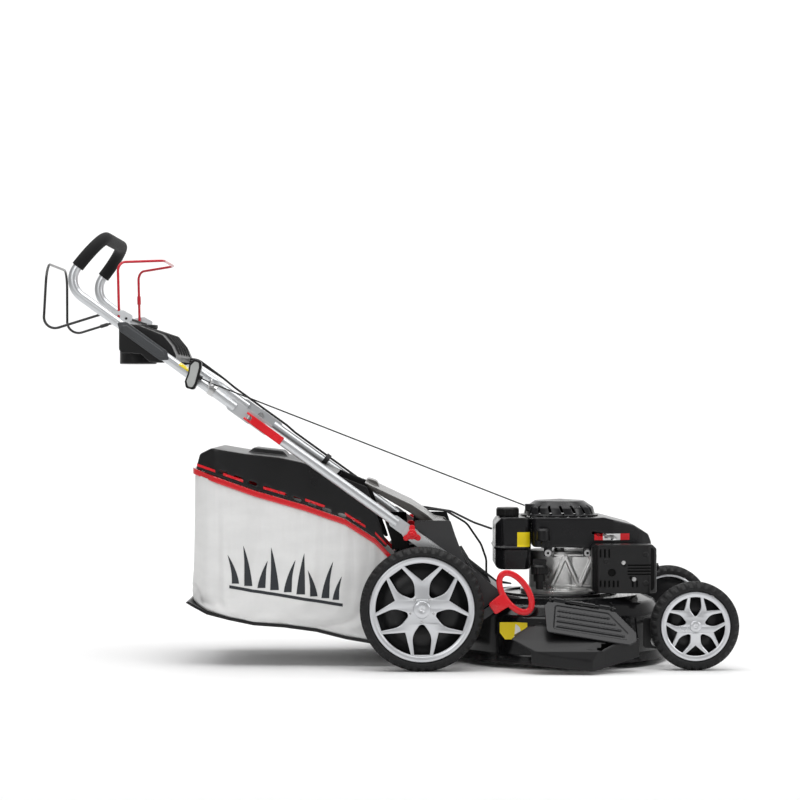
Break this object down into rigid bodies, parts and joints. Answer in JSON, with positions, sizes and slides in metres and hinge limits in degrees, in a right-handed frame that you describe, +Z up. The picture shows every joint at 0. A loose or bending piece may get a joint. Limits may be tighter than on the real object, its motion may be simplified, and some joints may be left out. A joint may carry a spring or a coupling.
{
  "type": "push lawn mower",
  "caption": "Walk-behind petrol lawn mower with folding tubular handle, rear grass bag, side chute and four height-adjustable wheels.",
  "frame": {"origin": "on the ground under the centre of the overall box, wheels standing on Z = 0", "axes": "+X forward (away from the handle), +Y to the machine's left, +Z up"},
  "size_m": [1.5871, 0.626, 0.9995],
  "materials": {
    "deck_black": "gloss powder coat",
    "tunnel_plastic": "moulded, lightly textured",
    "frame_black": "satin black",
    "bracket_grey": "satin grey",
    "axle_steel": "zinc plated",
    "cast_alloy": "as cast",
    "lever_steel": "satin black",
    "red_plastic": "moulded, semi gloss",
    "tyre": "moulded tread",
    "rim_silver": "silver moulded",
    "black_plastic": "moulded, satin",
    "forged_steel": "machined",
    "guard_steel": "heat-resistant satin black",
    "rubber_black": "moulded",
    "blade_steel": "black, ground edges",
    "tube_silver": "silver powder coat",
    "foam_black": "closed-cell foam",
    "zinc_steel": "zinc plated",
    "grey_plastic": "moulded, satin",
    "console_plastic": "moulded, satin",
    "red_rod": "gloss coated rod",
    "black_rod": "gloss coated rod",
    "cable_black": "plastic sheath over steel",
    "grip_grey": "moulded, light grey",
    "rope_black": "braided",
    "lid_black": "moulded, textured",
    "red_gloss": "glossy",
    "bag_fabric": "woven polyester mesh"
  },
  "bodies": {
    "chassis": {"deck_shell": "deck_black", "rear_tunnel": "tunnel_plastic", "side_frames": "frame_black", "handle_brackets": "bracket_grey", "front_brackets": "frame_black", "crankcase": "cast_alloy", "cylinder": "cast_alloy", "blower_shroud": "black_plastic", "recoil_cover": "black_plastic", "fuel_tank": "black_plastic", "muffler": "forged_steel", "muffler_guard": "guard_steel", "oil_filler": "black_plastic", "post_cap": "rubber_black", "air_filter": "black_plastic", "spark_plug": "rubber_black", "cables_chassis": "cable_black", "cables_pivot": "cable_black", "starter_rope": "rope_black", "deflector": "tunnel_plastic"},
    "crank": {"crankshaft": "forged_steel", "blade": "blade_steel"},
    "front_carrier": {"front_axle": "axle_steel"},
    "rear_carrier": {"rear_axle": "axle_steel", "gearbox": "cast_alloy", "height_lever": "lever_steel", "height_grip": "red_plastic"},
    "lower_handle": {"lower_tubes": "tube_silver", "fold_bolts": "zinc_steel", "cables_lower": "cable_black", "cables_fold": "cable_black"},
    "upper_handle": {"upper_handle": "tube_silver", "foam_grip": "foam_black", "side_covers": "grey_plastic", "console": "console_plastic", "cables_upper": "cable_black", "rope_guide": "zinc_steel"},
    "brake_bail": {"brake_bail": "red_rod"},
    "drive_bail": {"drive_bail": "black_rod"},
    "cam_right": {"cam_lever_right": "red_plastic"},
    "cam_left": {"cam_lever_left": "red_plastic"},
    "knob_right": {"wing_knob_right": "red_plastic"},
    "knob_left": {"wing_knob_left": "red_plastic"},
    "starter_grip": {"starter_grip": "grip_grey"},
    "grass_bag": {"bag_lid": "lid_black", "bag_band": "red_gloss", "bag_fabric": "bag_fabric", "bag_base": "lid_black"},
    "rear_door": {"rear_door": "console_plastic"},
    "side_flap": {"side_flap": "tunnel_plastic"},
    "fuel_cap": {"fuel_cap": "black_plastic"},
    "oil_cap": {"oil_cap": "black_plastic"},
    "wheel_rear_right": {"tyre_rear_right": "tyre", "rim_rear_right": "rim_silver"},
    "wheel_rear_left": {"tyre_rear_left": "tyre", "rim_rear_left": "rim_silver"},
    "wheel_front_right": {"tyre_front_right": "tyre", "rim_front_right": "rim_silver"},
    "wheel_front_left": {"tyre_front_left": "tyre", "rim_front_left": "rim_silver"}
  },
  "joints": [
    {"name": "crank_spin", "type": "hinge", "parent": "chassis", "child": "crank", "pos_m": [0.403, 0.0274, 0.1], "axis": [0, 0, 1], "continuous": true},
    {"name": "height_adjust", "type": "hinge", "parent": "chassis", "child": "rear_carrier", "pos_m": [0.166, 0.0274, 0.089], "axis": [0, -1, 0], "range_deg": [0, 25.8]},
    {"name": "front_height", "type": "hinge", "parent": "chassis", "child": "front_carrier", "pos_m": [0.612, 0.0274, 0.06], "axis": [0, -1, 0], "range_deg": [-29.9, 0]},
    {"name": "handle_lower_fold", "type": "hinge", "parent": "chassis", "child": "lower_handle", "pos_m": [0.0523, 0.0274, 0.306], "axis": [0, -1, 0], "range_deg": [-75, 0], "deforming": ["cables_pivot"]},
    {"name": "handle_upper_fold", "type": "hinge", "parent": "lower_handle", "child": "upper_handle", "pos_m": [-0.319, 0.0274, 0.572], "axis": [0, 1, 0], "range_deg": [0, 130], "deforming": ["cables_fold"]},
    {"name": "brake_bail_swing", "type": "hinge", "parent": "upper_handle", "child": "brake_bail", "pos_m": [-0.617, 0.0274, 0.802], "axis": [0, -1, 0], "range_deg": [0, 50], "stiffness_Nm_per_rad": 0.35, "springref_deg": -34.38},
    {"name": "drive_bail_swing", "type": "hinge", "parent": "upper_handle", "child": "drive_bail", "pos_m": [-0.6, 0.0274, 0.797], "axis": [0, 1, 0], "range_deg": [0, 40], "stiffness_Nm_per_rad": 0.35, "springref_deg": -34.38},
    {"name": "starter_pull", "type": "slide", "parent": "upper_handle", "child": "starter_grip", "axis": [-0.9054, -0.2515, 0.342], "range_m": [0, 0.4], "stiffness_N_per_m": 20, "springref_m": -0.3, "deforming": ["starter_rope"]},
    {"name": "cam_right_swing", "type": "hinge", "parent": "lower_handle", "child": "cam_right", "pos_m": [-0.319, -0.2036, 0.572], "axis": [0.585, 0, 0.8111], "range_deg": [-110, 0]},
    {"name": "cam_left_swing", "type": "hinge", "parent": "lower_handle", "child": "cam_left", "pos_m": [-0.319, 0.2584, 0.572], "axis": [0.585, 0, 0.8111], "range_deg": [0, 110]},
    {"name": "knob_right_turn", "type": "hinge", "parent": "chassis", "child": "knob_right", "pos_m": [0.0523, -0.1976, 0.306], "axis": [0, -1, 0], "continuous": true},
    {"name": "knob_left_turn", "type": "hinge", "parent": "chassis", "child": "knob_left", "pos_m": [0.0523, 0.2524, 0.306], "axis": [0, 1, 0], "continuous": true},
    {"name": "rear_door_lift", "type": "hinge", "parent": "chassis", "child": "rear_door", "pos_m": [0.13, 0.0274, 0.318], "axis": [0, -1, 0], "range_deg": [-50, 0], "stiffness_Nm_per_rad": 0.25, "springref_deg": 45.84},
    {"name": "bag_lift", "type": "slide", "parent": "chassis", "child": "grass_bag", "axis": [-0.9707, 0, 0.2402], "range_m": [0, 0.35]},
    {"name": "side_flap_lift", "type": "hinge", "parent": "chassis", "child": "side_flap", "pos_m": [0.369, -0.2106, 0.159], "axis": [0.9883, 0, -0.1526], "range_deg": [-95, 0], "stiffness_Nm_per_rad": 0.2, "springref_deg": 34.38},
    {"name": "fuel_cap_turn", "type": "hinge", "parent": "chassis", "child": "fuel_cap", "pos_m": [0.279, -0.0026, 0.345], "axis": [0, 0, 1], "continuous": true},
    {"name": "oil_cap_turn", "type": "hinge", "parent": "chassis", "child": "oil_cap", "pos_m": [0.349, -0.0846, 0.215], "axis": [0, 0, 1], "continuous": true},
    {"name": "wheel_rear_right_spin", "type": "hinge", "parent": "rear_carrier", "child": "wheel_rear_right", "pos_m": [0.0744, -0.2356, 0.14], "axis": [0, 1, 0], "continuous": true},
    {"name": "wheel_rear_left_spin", "type": "hinge", "parent": "rear_carrier", "child": "wheel_rear_left", "pos_m": [0.0744, 0.2904, 0.14], "axis": [0, 1, 0], "continuous": true},
    {"name": "wheel_front_right_spin", "type": "hinge", "parent": "front_carrier", "child": "wheel_front_right", "pos_m": [0.692, -0.2126, 0.1], "axis": [0, 1, 0], "continuous": true},
    {"name": "wheel_front_left_spin", "type": "hinge", "parent": "front_carrier", "child": "wheel_front_left", "pos_m": [0.692, 0.2674, 0.1], "axis": [0, 1, 0], "continuous": true}
  ],
  "couplings": [
    {"joint": "front_height", "follows": "height_adjust", "ratio": -1.155}
  ]
}
